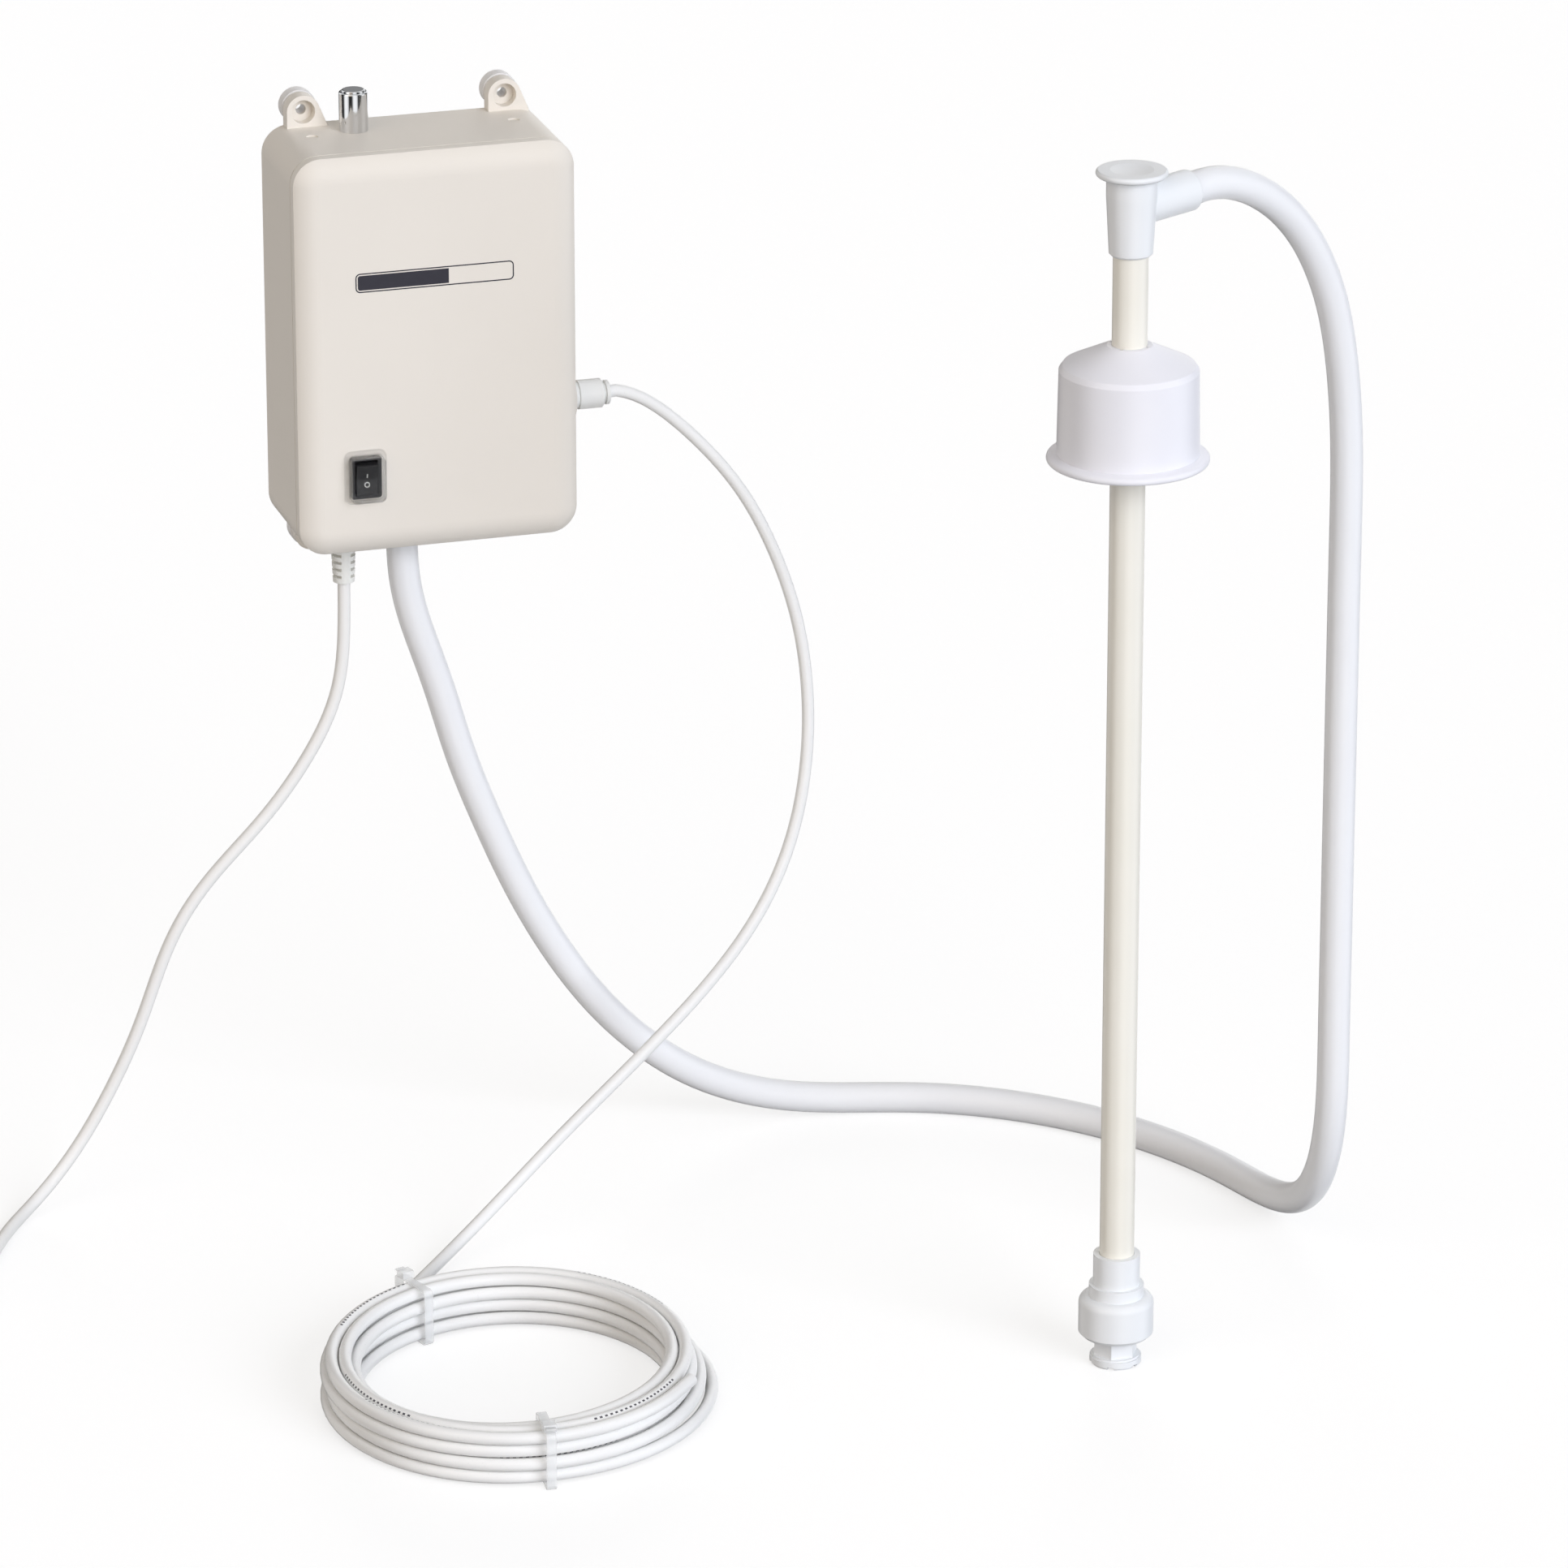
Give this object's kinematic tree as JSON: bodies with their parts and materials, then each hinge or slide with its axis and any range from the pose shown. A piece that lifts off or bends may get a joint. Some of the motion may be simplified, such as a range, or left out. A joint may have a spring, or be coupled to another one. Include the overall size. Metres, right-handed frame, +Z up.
{
  "type": "electric water jug pump",
  "caption": "Wall-mounted electric water pump in an ivory housing, with a hose to an upright suction wand and its neck cap, a coil of outlet tube and a power cord.",
  "frame": {"origin": "centre of the four wall holes, on the wall plane behind the rubber isolators", "axes": "+Z up, -Y out of the wall towards the front cover, +X to the outlet side"},
  "size_m": [0.7591, 0.4552, 0.6112],
  "materials": {
    "ivory_abs": "moulded, fine satin",
    "zinc_steel": "zinc plated",
    "grey_rubber": "matt",
    "black_nylon": "moulded, satin",
    "black_rocker": "polished",
    "clear_silicone": "clear, soft",
    "chrome": "polished",
    "spring_steel": "drawn wire",
    "white_acetal": "moulded",
    "black_rubber": "matt",
    "white_nylon": "moulded",
    "ferrite": "sintered",
    "carbon": "pressed carbon",
    "copper_winding": "enamelled winding on a steel core",
    "bearing_steel": "ground",
    "natural_nylon": "moulded",
    "brown_phenolic": "moulded",
    "green_board": "lacquered",
    "cream_plastic": "moulded, satin",
    "white_abs": "moulded, satin",
    "white_polyethylene": "moulded, soft sheen",
    "stainless_mesh": "punched",
    "clear_hose": "extruded, translucent",
    "white_tube": "extruded",
    "white_cord": "extruded",
    "clear_tie": "clear",
    "brass": "polished"
  },
  "bodies": {
    "pump_unit": {"rear_housing": "ivory_abs", "front_cover": "ivory_abs", "cover_screws": "zinc_steel", "head_screws": "zinc_steel", "board_screws": "zinc_steel", "pump_bracket": "zinc_steel", "motor_strap": "zinc_steel", "motor_can": "zinc_steel", "wall_isolators": "grey_rubber", "switch_body": "black_nylon", "breaker_body": "black_nylon", "motor_end_bell": "black_nylon", "pump_housing": "black_nylon", "pump_head": "black_nylon", "switch_boot": "clear_silicone", "reset_sleeve": "chrome", "reset_spring": "spring_steel", "check_spring": "spring_steel", "outlet_fitting": "white_acetal", "outlet_link": "white_acetal", "inlet_elbow": "white_acetal", "outlet_o_ring": "black_rubber", "foot_o_ring": "black_rubber", "hose_grommet": "black_rubber", "pump_feet": "black_rubber", "diaphragm": "black_rubber", "valve_flaps": "black_rubber", "cord_gland": "white_nylon", "motor_magnets": "ferrite", "motor_brushes": "carbon", "motor_bearings": "bearing_steel", "cam_bearing": "bearing_steel", "wobble_plate": "natural_nylon", "valve_plate": "natural_nylon", "pressure_switch": "brown_phenolic", "circuit_board": "green_board", "suction_tube": "cream_plastic", "wand_head": "white_abs", "wand_plug": "white_abs", "foot_body": "white_abs", "foot_inlet": "white_abs", "foot_strainer": "stainless_mesh", "suction_hose": "clear_hose", "outlet_tube": "white_tube", "outlet_coil": "white_tube", "power_cord": "white_cord", "power_cord_coil": "white_cord", "power_plug": "white_cord", "coil_ties": "clear_tie", "cord_tie": "clear_tie", "plug_pins": "brass"},
    "rocker": {"switch_rocker": "black_rocker"},
    "reset_button": {"reset_plunger": "chrome"},
    "rotor": {"armature": "copper_winding", "drive_cam": "bearing_steel"},
    "cap": {"neck_cap": "white_polyethylene", "cap_seal": "grey_rubber"},
    "poppet": {"check_poppet": "white_abs"},
    "collet": {"outlet_collet": "white_acetal"}
  },
  "joints": [
    {"name": "switch_rock", "type": "hinge", "parent": "pump_unit", "child": "rocker", "pos_m": [-0.039, -0.0783, -0.062], "axis": [1, 0, 0], "range_deg": [-18, 0]},
    {"name": "reset_press", "type": "slide", "parent": "pump_unit", "child": "reset_button", "axis": [0, 0, -1], "range_m": [0, 0.003], "stiffness_N_per_m": 400, "springref_m": -0.003, "deforming": ["reset_spring"]},
    {"name": "motor_spin", "type": "hinge", "parent": "pump_unit", "child": "rotor", "pos_m": [0.026, -0.044, 0], "axis": [0, 0, 1], "continuous": true},
    {"name": "cap_slide", "type": "slide", "parent": "pump_unit", "child": "cap", "axis": [0, 0, 1], "range_m": [-0.03, 0.03]},
    {"name": "check_valve", "type": "slide", "parent": "pump_unit", "child": "poppet", "axis": [0, 0, 1], "range_m": [0, 0.004], "stiffness_N_per_m": 60, "springref_m": -0.005, "deforming": ["check_spring"]},
    {"name": "collet_release", "type": "slide", "parent": "pump_unit", "child": "collet", "axis": [-1, 0, 0], "range_m": [0, 0.0012]}
  ]
}
